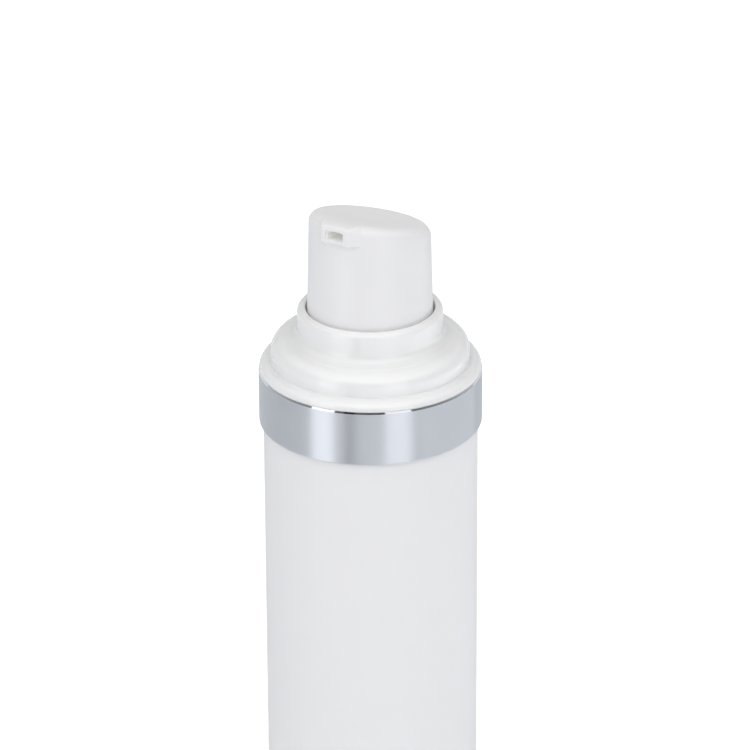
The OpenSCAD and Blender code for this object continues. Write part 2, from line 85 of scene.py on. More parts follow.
def angle(name, description, degrees):
    """Property for an angle, stored in radians."""
    return FloatProperty(name=name, description=description, default=degrees * DEG, precision=3,
                         subtype="ANGLE")


def number(name, description, value, low=0.0):
    """Property for a plain number."""
    return FloatProperty(name=name, description=description, default=value, min=low)


def colour(name, description, text):
    """Property for a colour, stored linear."""
    return FloatVectorProperty(name=name, description=description, default=srgb(text), size=3,
                               min=0.0, max=1.0, subtype="COLOR")


class BottleSizes(bpy.types.PropertyGroup):
    """Sizes of the surfaces that the frame's boxes don't give."""
    segments: IntProperty(name="Segments", description="Columns round a turned surface", default=192, min=48)
    arc_steps: IntProperty(name="Arc steps", description="Rows of a quarter turn", default=9, min=3)
    barrel_wall: length("Barrel wall", "Wall of the barrel", 1.6)
    foot_round: length("Foot rounding", "Outer edge of the foot", 0.6)
    neck_outer: length("Neck radius", "Outside of the neck", 15.0)
    neck_inner: length("Neck bore", "Inside of the neck", 13.2)
    plug_wall: length("Plug wall", "Ring wall of the base plug", 1.35)
    plug_plate: length("Plug plate", "Plate of the base plug", 1.2)
    vent: length("Vent radius", "Air hole in the base plug", 0.8)
    ring_wall: length("Ring wall", "Wall of the trim ring", 0.5)
    bevel_height: length("Ring bevel", "Height of the bright cut along the ring's top edge", 0.32)
    bevel_lean: length("Bevel lean", "How far that cut leans in", 0.14)
    ring_round: length("Ring rounding", "Lower edge of the trim ring", 0.35)
    skirt_inner: length("Collar bore", "Inside of the collar's skirt", 16.8)
    skirt_outer: length("Collar skirt", "Outside of the collar's skirt", 17.95)
    shell_wall: length("Shell wall", "Wall of the collar's shell", 1.25)
    rim_height: length("Rim height", "Rim above the trim ring", 1.55)
    rim_round: length("Rim rounding", "Outer edge of the rim", 1.5)
    crease: length("Crease", "Inside corner between rim and dome", 0.25)
    dome_radius: length("Dome radius", "Upright wall of the dome", 16.5)
    dome_height: length("Dome height", "Dome above the trim ring", 5.7)
    dome_round: length("Dome rounding", "Outer edge of the dome", 2.8)
    sleeve_radius: length("Sleeve radius", "Outside of the sleeve", 12.032)
    sleeve_inner: length("Sleeve bore", "Inside of the sleeve", 10.652)
    sleeve_fillet: length("Sleeve fillet", "Fillet between dome and sleeve", 1.55)
    lip_outer: length("Lip rounding", "Outer edge of the sleeve's lip", 1.035)
    lip_inner: length("Lip inner rounding", "Inner edge of the sleeve's lip", 0.331)
    head_rise: length("Button rise", "Button above the sleeve, on the axis", 15.795)
    head_draft: angle("Button draft", "Taper of the button's wall", 1.4)
    head_slope: angle("Button slope", "Slope of the button's top", 14.6)
    head_round: length("Button rounding", "Upper edge of the button", 2.1)
    head_dish: length("Button dish", "Depth of the finger dish", 0.4)
    head_wall: length("Button wall", "Wall of the button", 1.3)
    nozzle_width: length("Nozzle width", "Flat face of the nozzle", 5.0)
    nozzle_height: length("Nozzle height", "Flat face of the nozzle", 3.15)
    nozzle_round: length("Nozzle rounding", "Upper edge of the nozzle", 0.4)
    brow_drop: length("Brow dip", "How far the top dips towards the nozzle's upper edge", 0.9)
    brow_run: length("Brow length", "Length of that dip", 3.0)
    nozzle_flare: length("Nozzle flare", "Run of each flank into the wall", 1.7)
    ledge_lean: length("Ledge", "Height over which the wall leans out to the nozzle's lower edge", 0.85)
    outlet_width: length("Outlet width", "Rectangular outlet", 3.0)
    outlet_height: length("Outlet height", "Rectangular outlet", 1.45)
    outlet_drop: length("Outlet drop", "Outlet's centre below the nozzle's upper edge", 1.7)
    outlet_round: length("Outlet rounding", "Corners and rim of the outlet", 0.18)
    wire: length("Spring wire", "Diameter of the spring's wire", 0.8)
    turns: number("Spring turns", "Turns of the spring", 7.5, low=3.0)


class BottleColours(bpy.types.PropertyGroup):
    """Colours of the finishes."""
    button: colour("Button", "Satin polypropylene", "#F2F1F2")
    collar: colour("Collar", "Glossy polypropylene", "#F4F4F4")
    barrel: colour("Barrel", "Matte polypropylene", "#F2F1F2")
    engine: colour("Engine", "Natural polypropylene", "#ECEEEE")
    seal: colour("Seals", "Natural polyethylene", "#E6EAEC")
    trim: colour("Trim", "Anodised aluminium", "#E8ECF2")
    bright: colour("Bright cut", "Cut edge of the aluminium", "#EEF0F4")
    steel: colour("Steel", "Stainless steel", "#B9BCC0")
    floor: colour("Floor", "Pale floor", "#EFF2F6")


class BottleStage(bpy.types.PropertyGroup):
    """Camera and light."""
    distance: length("Distance", "Camera to the axis", 812)
    azimuth: angle("Azimuth", "Camera round the bottle from the nozzle's side", 33)
    elevation: angle("Elevation", "Camera above the horizon", 24.92)
    roll: angle("Roll", "Lean of the picture", 0.28)
    scale: number("Scale", "Pixels of the picture per metre at the axis", 6047)
    aim_drop: length("Aim", "Picture's centre below the ring's top", 1.775)
    aim_side: length("Aim to the right", "Picture's centre to the right of the axis", 0.75)
    horizon: number("Horizon", "Radiance of the low walls", 0.36)
    gap: number("Gap", "Radiance of the walls between there and the ceiling", 0.32)
    ceiling: number("Ceiling", "Radiance overhead", 1)
    walls_back: number("Walls to the back", "How much brighter the walls are behind the bottle", 0.75)
    ceiling_front: number("Ceiling to the front", "How much brighter the ceiling is towards the camera", 1)
    left: number("Left softbox", "Radiance of the left softbox", 1.15)
    right: number("Right softbox", "Radiance of the right softbox", 0.88)
    panel: number("Right panel", "Radiance of the low panel at the right", 0.58)



def turn_grid(outline, columns):
    """Grid of points of a turned surface: P(s, t) = (r(s) cos t, r(s) sin t, z(s)) for the outline (r, z)."""
    t = np.linspace(0, 2 * np.pi, columns, endpoint=False)
    r, z = outline[:, :1], outline[:, 1:]
    return np.stack([r * np.cos(t), r * np.sin(t), np.broadcast_to(z, (len(r), columns))], axis=2)


def rounded(corners, arc_steps, support=0.12 * MM):
    """Outline through corners (r, z, radius): each corner is an arc tangent to both its sides, of radius
    r and with its ends r / tan(half the corner's angle) away from it. A side that stays straight for long
    enough has a point near each end, which keeps its shading flat."""
    points, radii = np.array([c[:2] for c in corners], dtype=float), [c[2] for c in corners]
    arcs = []
    for before, corner, after, radius in zip(np.roll(points, 1, 0), points, np.roll(points, -1, 0), radii):
        u, v = before - corner, after - corner
        u, v = u / np.linalg.norm(u), v / np.linalg.norm(v)
        half = 0.5 * math.acos(np.clip(u @ v, -1, 1))
        if radius <= 0 or half > 89.5 * DEG:
            arcs.append(corner[None, :])
            continue
        setback, sweep = radius / math.tan(half), math.pi - 2 * half
        centre = corner + (u + v) / np.linalg.norm(u + v) * radius / math.sin(half)
        start, end = corner + u * setback - centre, corner + v * setback - centre
        f = np.linspace(0, 1, max(2, round(arc_steps * sweep / (math.pi / 2))) + 1)[:, None]
        arcs.append((np.sin((1 - f) * sweep) * start + np.sin(f * sweep) * end) / math.sin(sweep) + centre)
    outline = []
    for arc, following in zip(arcs, arcs[1:] + arcs[:1]):
        outline.extend(arc)
        run = following[0] - arc[-1]
        flat = np.linalg.norm(run)
        if flat > 4 * support:
            outline.extend([arc[-1] + run * support / flat, following[0] - run * support / flat])
    outline = np.array(outline)
    r, z = outline.T
    area = np.sum(r * np.roll(z, -1) - np.roll(r, -1) * z)
    return outline if area > 0 else outline[::-1]


def mesh_object(name, points, polygons, body=None):
    """Object with a smooth mesh of the given points; polygons are arrays of quads or triangles."""
    mesh = bpy.data.meshes.new(name)
    loops = np.concatenate([p.ravel() for p in polygons]).astype(np.int32)
    totals = np.concatenate([np.full(len(p), p.shape[1]) for p in polygons])
    mesh.vertices.add(len(points))
    mesh.vertices.foreach_set("co", np.ascontiguousarray(points, dtype=np.float32).ravel())
    mesh.loops.add(len(loops))
    mesh.loops.foreach_set("vertex_index", loops)
    mesh.polygons.add(len(totals))
    mesh.polygons.foreach_set("loop_start", np.concatenate([[0], np.cumsum(totals)[:-1]]).astype(np.int32))
    mesh.polygons.foreach_set("use_smooth", np.ones(len(totals), dtype=bool))
    mesh.update(calc_edges=True)
    mesh.validate()
    piece = bpy.data.objects.new(name, mesh)
    bpy.context.scene.collection.objects.link(piece)
    if body:
        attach(piece, body)
    return piece


def grid_quads(rows, columns, loop):
    """Quads of a grid that closes on itself along its columns and, for a loop, along its rows."""
    j, k = np.meshgrid(np.arange(rows if loop else rows - 1), np.arange(columns), indexing="ij")
    up, side = (j + 1) % rows, (k + 1) % columns
    quads = [j * columns + k, j * columns + side, up * columns + side, up * columns + k]
    return np.stack(quads, axis=2).reshape(-1, 4)


def ring_surface(name, grid, body=None):
    """Closed surface of a grid whose rows and columns both run round, such as a turned ring."""
    rows, columns = grid.shape[:2]
    return mesh_object(name, grid.reshape(-1, 3), [grid_quads(rows, columns, True)], body)


def poled_surface(name, grid, body=None):
    """Closed surface of a grid whose first and last rows shrink to one point each."""
    inner = grid[1:-1]
    rows, columns = inner.shape[:2]
    k = np.arange(columns)
    side = (k + 1) % columns
    south, north = rows * columns, rows * columns + 1
    top = (rows - 1) * columns
    fans = np.concatenate([np.stack([np.full(columns, south), side, k], axis=1),
                           np.stack([np.full(columns, north), top + k, top + side], axis=1)])
    points = np.concatenate([inner.reshape(-1, 3), grid[0, :1], grid[-1, :1]])
    return mesh_object(name, points, [grid_quads(rows, columns, False), fans], body)


def block(name, low, high):
    """Box between two corners: the eight sign combinations, with its six faces outwards."""
    x, y, z = np.array([low, high]).T
    points = np.array([[x[i & 1], y[i >> 1 & 1], z[i >> 2 & 1]] for i in range(8)])
    quads = np.array([[0, 2, 3, 1], [4, 5, 7, 6], [0, 1, 5, 4], [2, 6, 7, 3], [0, 4, 6, 2], [1, 3, 7, 5]])
    return mesh_object(name, points, [quads])


def turned(piece, tilt=0.0, spin=0.0, rise=0.0):
    """Tilts a piece's mesh about X, then turns it about Z and lifts it."""
    turn = Matrix.Rotation(spin, 4, "Z") @ Matrix.Rotation(tilt, 4, "X")
    piece.data.transform(Matrix.Translation((0, 0, rise)) @ turn)
    return piece


def combine(piece, others, operation):
    """Adds the other closed pieces to a closed piece or cuts them from it, and removes them."""
    for other in others:
        modifier = piece.modifiers.new(operation, "BOOLEAN")
        modifier.operation = operation
        modifier.solver = "EXACT"
        modifier.object = other
    shaped = bpy.data.meshes.new_from_object(piece.evaluated_get(bpy.context.evaluated_depsgraph_get()))
    piece.modifiers.clear()
    shaped.name = piece.name
    piece.data = shaped
    for other in others:
        bpy.data.objects.remove(other)
    return piece


def add_node(tree, kind, inputs=None, **settings):
    """Adds a node with its settings; an input is a constant or another node's output socket."""
    made = tree.nodes.new(kind)
    for key, value in settings.items():
        setattr(made, key, value)
    for key, value in (inputs or {}).items():
        if isinstance(value, bpy.types.NodeSocket):
            tree.links.new(value, made.inputs[key])
        else:
            made.inputs[key].default_value = value
    return made


def new_material(name):
    """Empty node material with its output."""
    material = bpy.data.materials.new(name)
    material.use_nodes = True
    material.node_tree.nodes.clear()
    return material, material.node_tree


def per_metre(millimetres):
    """Pattern scale whose features are about this size."""
    return 1 / (millimetres * MM)


def moulded_plastic(name, base, roughness, grain, relief, ior=1.49, mottle=0.012, glow=0.12, waves=0.0,
                    lacquer=0.0, painted_glow=0.0):
    """Moulded plastic: fine mould grain, a slow waviness of the skin, slight change of tone and roughness,
    and a little light under the surface. The painted glow is a faint tinted emission, painted light that
    stands in for light coming through a thin wall from its other side. Grain, relief and waves are in
    millimetres."""
    material, tree = new_material(name)
    where = add_node(tree, "ShaderNodeTexCoord").outputs["Object"]
    slow = add_node(tree, "ShaderNodeTexNoise", {
        "Vector": where, "Scale": per_metre(PATCH), "Detail": 2.0}).outputs["Fac"]
    fine = add_node(tree, "ShaderNodeTexNoise", {
        "Vector": where, "Scale": per_metre(grain), "Detail": 3.0}).outputs["Fac"]
    darker = [c * (1 - mottle) for c in base]
    lighter = [min(1.0, c * (1 + mottle)) for c in base]
    tone = add_node(tree, "ShaderNodeMix", {"Factor": slow, "A": (*darker, 1.0), "B": (*lighter, 1.0)},
                    data_type="RGBA").outputs["Result"]
    normal = add_node(tree, "ShaderNodeBump", {
        "Height": fine, "Distance": relief * MM, "Strength": 1.0}).outputs["Normal"]
    if waves:
        normal = add_node(tree, "ShaderNodeBump", {
            "Height": slow, "Distance": waves * MM, "Strength": 1.0, "Normal": normal}).outputs["Normal"]
    rough = add_node(tree, "ShaderNodeMapRange", {
        "Value": fine, "To Min": roughness * 0.9, "To Max": roughness * 1.1}).outputs["Result"]
    shader = add_node(tree, "ShaderNodeBsdfPrincipled", {
        "Base Color": tone, "Roughness": rough, "IOR": ior,
        "Subsurface Weight": glow, "Subsurface Radius": (1.0, 0.9, 0.8), "Subsurface Scale": 1.2 * MM,
        "Coat Weight": lacquer, "Coat Roughness": 0.03, "Coat IOR": 1.5,
        # Emission: the painted glow, painted light standing in for light through a thin wall
        "Emission Color": PAINTED_GLOW_TINT, "Emission Strength": painted_glow, "Normal": normal})
    add_node(tree, "ShaderNodeOutputMaterial", {"Surface": shader.outputs["BSDF"]})
    return material


def satin_button(colours, painted_glow=0.0):
    """White polypropylene from a spark-eroded mould: a soft, even sheen with a faint grain."""
    return moulded_plastic("satin moulded polypropylene", colours.button, roughness=0.34, grain=0.22,
                           relief=0.004, painted_glow=painted_glow)


def glossy_collar(colours, painted_glow=0.0):
    """White polypropylene from a polished mould: a clear gloss that wavers a little with the skin."""
    return moulded_plastic("polished moulded polypropylene", colours.collar, roughness=0.24, grain=0.5,
                           relief=0.0006, waves=0.008, mottle=0.006, lacquer=1.0, painted_glow=painted_glow)


def matte_barrel(colours):
    """White polypropylene from a blasted mould: a dry, even matte that only brightens at the edges."""
    return moulded_plastic("matte moulded polypropylene", colours.barrel, roughness=0.5, grain=0.26,
                           relief=0.006, mottle=0.008)


def natural_engine(colours):
    """Unpigmented polypropylene: milky, with light in its depth."""
    return moulded_plastic("natural polypropylene", colours.engine, roughness=0.3, grain=0.4,
                           relief=0.002, glow=0.5)


def soft_seal(colours):
    """Natural polyethylene: waxy, softer and duller than the engine's parts."""
    return moulded_plastic("natural polyethylene", colours.seal, roughness=0.42, grain=0.35,
                           relief=0.003, ior=1.51, glow=0.5)


def anodised_ring(colours):
    """Aluminium turned and anodised silver: the turning marks run round, so light spreads up and down into
    upright bands. The marks are about 0.03 mm apart and are drawn at 0.25 mm, so that they show."""
    material, tree = new_material("anodised turned aluminium")
    where = add_node(tree, "ShaderNodeTexCoord").outputs["Object"]
    thin = add_node(tree, "ShaderNodeMapping", {
        "Vector": where, "Scale": (0.02, 0.02, 1.0)}).outputs["Vector"]
    marks = add_node(tree, "ShaderNodeTexNoise", {
        "Vector": thin, "Scale": per_metre(0.25), "Detail": 3.0}).outputs["Fac"]
    cloud = add_node(tree, "ShaderNodeTexNoise", {
        "Vector": where, "Scale": per_metre(6), "Detail": 2.0}).outputs["Fac"]
    duller = [c * 0.985 for c in colours.trim]
    tone = add_node(tree, "ShaderNodeMix", {"Factor": cloud, "A": (*duller, 1.0), "B": (*colours.trim, 1.0)},
                    data_type="RGBA").outputs["Result"]
    normal = add_node(tree, "ShaderNodeBump", {
        "Height": marks, "Distance": 0.0008 * MM, "Strength": 1.0}).outputs["Normal"]
    rough = add_node(tree, "ShaderNodeMapRange", {
        "Value": marks, "To Min": 0.41, "To Max": 0.46}).outputs["Result"]
    round_z = add_node(tree, "ShaderNodeTangent", direction_type="RADIAL", axis="Z").outputs["Tangent"]
    shader = add_node(tree, "ShaderNodeBsdfPrincipled", {
        "Base Color": tone, "Metallic": 1.0, "Roughness": rough, "Anisotropic": 1.0,
        "Anisotropic Rotation": 0.25, "Tangent": round_z, "Normal": normal})
    add_node(tree, "ShaderNodeOutputMaterial", {"Surface": shader.outputs["BSDF"]})
    return material


def bright_cut(colours):
    """Diamond-cut edge of the aluminium: a narrow mirror that flashes bright or black."""
    material, tree = new_material("bright cut aluminium")
    where = add_node(tree, "ShaderNodeTexCoord").outputs["Object"]
    specks = add_node(tree, "ShaderNodeTexNoise", {
        "Vector": where, "Scale": per_metre(1.5), "Detail": 2.0}).outputs["Fac"]
    rough = add_node(tree, "ShaderNodeMapRange", {
        "Value": specks, "To Min": 0.05, "To Max": 0.09}).outputs["Result"]
    shader = add_node(tree, "ShaderNodeBsdfPrincipled", {
        "Base Color": (*colours.bright, 1.0), "Metallic": 1.0, "Roughness": rough})
    add_node(tree, "ShaderNodeOutputMaterial", {"Surface": shader.outputs["BSDF"]})
    return material


def drawn_steel(colours, name, roughness, marks_mm):
    """Stainless steel, drawn or polished: a cool grey metal with fine marks."""
    material, tree = new_material(name)
    where = add_node(tree, "ShaderNodeTexCoord").outputs["Object"]
    marks = add_node(tree, "ShaderNodeTexNoise", {
        "Vector": where, "Scale": per_metre(marks_mm), "Detail": 3.0}).outputs["Fac"]
    normal = add_node(tree, "ShaderNodeBump", {
        "Height": marks, "Distance": 0.001 * MM, "Strength": 1.0}).outputs["Normal"]
    rough = add_node(tree, "ShaderNodeMapRange", {
        "Value": marks, "To Min": roughness * 0.8, "To Max": roughness * 1.2}).outputs["Result"]
    shader = add_node(tree, "ShaderNodeBsdfPrincipled", {
        "Base Color": (*colours.steel, 1.0), "Metallic": 1.0, "Roughness": rough, "Normal": normal})
    add_node(tree, "ShaderNodeOutputMaterial", {"Surface": shader.outputs["BSDF"]})
    return material


def dress(piece, material, node=None):
    """Gives a new piece its finish and hides the frame's node that it stands for."""
    piece.data.materials.clear()
    piece.data.materials.append(material)
    if node:
        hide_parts(node)


def face_centres(piece):
    """Centres of a piece's faces."""
    centres = np.empty(3 * len(piece.data.polygons))
    piece.data.polygons.foreach_get("center", centres)
    return centres.reshape(-1, 3)


def second_finish(piece, material, chosen):
    """Gives the chosen faces of a piece another finish."""
    piece.data.materials.append(material)
    piece.data.polygons.foreach_set("material_index", chosen.astype(np.int32))


class BOTTLE_OT_barrel(bpy.types.Operator):
    """Barrel with its deck, neck and snap bead, turned as one closed wall"""
    bl_idname = "bottle.barrel"
    bl_label = "Barrel"

    def execute(self, context):
        sizes, colours = context.scene.bottle_sizes, context.scene.bottle_colours
        low, high = BOX["bottle_barrel"]
        r, foot, top = high.x, low.z, high.z
        ledge = BOX["shoulder_collar"][0].z
        inner, neck, bore = r - sizes.barrel_wall, sizes.neck_outer, sizes.neck_inner
        deck = ledge - sizes.barrel_wall
        lead, haunch = 0.3 * MM, 0.8 * MM           # lead-in at the foot, slope under the deck
        bead, bead_out, bead_flat = top - 1.9 * MM, 0.45 * MM, 0.35 * MM
        snap, snap_half, snap_in = foot + 2.3 * MM, 0.25 * MM, 0.2 * MM     # groove for the base plug
        corners = [
            (r, foot, sizes.foot_round), (r, ledge, 0.15 * MM),
            (neck, ledge, 0.2 * MM), (neck, bead, 0.05 * MM),
            (neck + bead_out, bead + bead_out, 0.12 * MM),
            (neck + bead_out, bead + bead_out + bead_flat, 0.12 * MM),
            (neck, bead + 2 * bead_out + bead_flat, 0.05 * MM), (neck, top, 0.2 * MM),
            (bore, top, 0.2 * MM), (bore, deck, 0.2 * MM),
            (inner - haunch, deck, 0.2 * MM), (inner, deck - haunch, 0.2 * MM),
            (inner, snap + snap_half + snap_in, 0.03 * MM), (inner + snap_in, snap + snap_half, 0.05 * MM),
            (inner + snap_in, snap - snap_half, 0.05 * MM), (inner, snap - snap_half - snap_in, 0.03 * MM),
            (inner, foot + lead, 0.1 * MM), (inner + lead, foot, 0.1 * MM)]
        piece = ring_surface("barrel", turn_grid(rounded(corners, sizes.arc_steps), sizes.segments), "bottle")
        dress(piece, matte_barrel(colours), "bottle_barrel")
        return {"FINISHED"}


class BOTTLE_OT_base_plug(bpy.types.Operator):
    """Vented plug in the foot, with its ring wall and the step round its plate"""
    bl_idname = "bottle.base_plug"
    bl_label = "Base plug"

    def execute(self, context):
        sizes, colours = context.scene.bottle_sizes, context.scene.bottle_colours
        low, high = BOX["base_plug"]
        r = BOX["bottle_barrel"][1].x - sizes.barrel_wall - 0.05 * MM
        wall, plate0 = r - sizes.plug_wall, low.z + 1.0 * MM
        plate1 = plate0 + sizes.plug_plate
        mid = (low.z + high.z) / 2
        lead, dish = 0.3 * MM, 1.2 * MM             # lead-in at the top, slope from the wall to the plate
        rib_in, rib_out, rib_deep = wall - 7.0 * MM, wall - 6.0 * MM, 0.2 * MM      # rib round the plate
        flank, snap, half = 0.1 * MM, 0.15 * MM, 0.3 * MM       # the rib's flanks, the snap bead
        corners = [
            (sizes.vent, plate0, 0.15 * MM),
            (rib_in, plate0, 0.1 * MM), (rib_in + flank, plate0 - rib_deep, 0.08 * MM),
            (rib_out - flank, plate0 - rib_deep, 0.08 * MM), (rib_out, plate0, 0.1 * MM),
            (wall - dish, plate0, 0.3 * MM), (wall, low.z, 0.3 * MM), (r, low.z, 0.25 * MM),
            (r, mid - half, 0.05 * MM), (r + snap, mid - half + snap, 0.05 * MM),
            (r + snap, mid + half - snap, 0.05 * MM), (r, mid + half, 0.05 * MM),
            (r, high.z - lead, 0.1 * MM), (r - lead, high.z, 0.1 * MM), (wall, high.z, 0.15 * MM),
            (wall, plate1, 0.3 * MM), (sizes.vent, plate1, 0.15 * MM)]
        outline = rounded(corners, sizes.arc_steps)
        piece = ring_surface("foot_plug", turn_grid(outline, sizes.segments), "bottle")
        dress(piece, matte_barrel(colours), "base_plug")
        return {"FINISHED"}


class BOTTLE_OT_trim_ring(bpy.types.Operator):
    """Bright trim ring with a cut bevel along its top and a rolled lower edge"""
    bl_idname = "bottle.trim_ring"
    bl_label = "Trim ring"

    def execute(self, context):
        sizes, colours = context.scene.bottle_sizes, context.scene.bottle_colours
        low, high = BOX["trim_ring"]
        r, inner = high.x, high.x - sizes.ring_wall
        start, end = high.z - sizes.bevel_height, high.x - sizes.bevel_lean
        corners = [(r, low.z, sizes.ring_round), (r, start, 0.02 * MM), (end, high.z, 0.02 * MM),
                   (inner, high.z, 0.04 * MM), (inner, low.z, 0.08 * MM)]
        outline = rounded(corners, sizes.arc_steps, 0.05 * MM)
        piece = ring_surface("trim_band", turn_grid(outline, sizes.segments), "bottle")
        dress(piece, anodised_ring(colours), "trim_ring")
        mid = (outline + np.roll(outline, -1, 0)) / 2
        cut = (mid[:, 1] > start) & (mid[:, 0] > end)
        second_finish(piece, bright_cut(colours), np.repeat(cut, sizes.segments))
        return {"FINISHED"}


class BOTTLE_OT_collar(bpy.types.Operator):
    """Shoulder collar: skirt, rim, dome and the sleeve round the button, turned as one shell"""
    bl_idname = "bottle.collar"
    bl_label = "Shoulder collar"

    def execute(self, context):
        sizes, colours = context.scene.bottle_sizes, context.scene.bottle_colours
        low, high = BOX["shoulder_collar"]
        ring = BOX["trim_ring"][1].z
        rim, dome, wall = ring + sizes.rim_height, ring + sizes.dome_height, sizes.shell_wall
        skirt, bore, dome_r = sizes.skirt_outer, sizes.skirt_inner, sizes.dome_radius
        sleeve, inner = sizes.sleeve_radius, sizes.sleeve_inner
        ceiling, lead = ring + 0.5 * MM, 0.3 * MM
        snap, snap_half, snap_in = low.z + 3.0 * MM, 0.1 * MM, 0.2 * MM     # bead inside the skirt
        corners = [
            (skirt, low.z, 0.1 * MM), (skirt, ring, 0.05 * MM), (high.x, ring, 0.08 * MM),
            (high.x, rim, sizes.rim_round), (dome_r, rim, sizes.crease), (dome_r, dome, sizes.dome_round),
            (sleeve, dome, sizes.sleeve_fillet), (sleeve, high.z, sizes.lip_outer),
            (inner, high.z, sizes.lip_inner), (inner, dome - wall, 0.2 * MM),
            (dome_r - wall, dome - wall, sizes.dome_round - wall), (dome_r - wall, ceiling, 0.15 * MM),
            (bore, ceiling, 0.15 * MM), (bore, snap + snap_half + snap_in, 0.03 * MM),
            (bore - snap_in, snap + snap_half, 0.04 * MM), (bore - snap_in, snap - snap_half, 0.04 * MM),
            (bore, snap - snap_half - snap_in, 0.03 * MM),
            (bore, low.z + lead, 0.08 * MM), (bore + lead, low.z, 0.08 * MM)]
        outline = rounded(corners, sizes.arc_steps)
        piece = ring_surface("collar", turn_grid(outline, sizes.segments), "bottle")
        dress(piece, glossy_collar(colours), "shoulder_collar")
        mid = (outline + np.roll(outline, -1, 0)) / 2
        painted_glow_wall = (mid[:, 0] < inner + 0.02 * MM) & (mid[:, 1] > dome)      # the sleeve's inner wall beside the button, given a painted glow
        # Painted glow on that wall: an emission standing in for light through the thin sleeve, which lightens
        # the shade in the gap
        second_finish(piece, glossy_collar(colours, painted_glow=0.05), np.repeat(painted_glow_wall, sizes.segments))
        return {"FINISHED"}


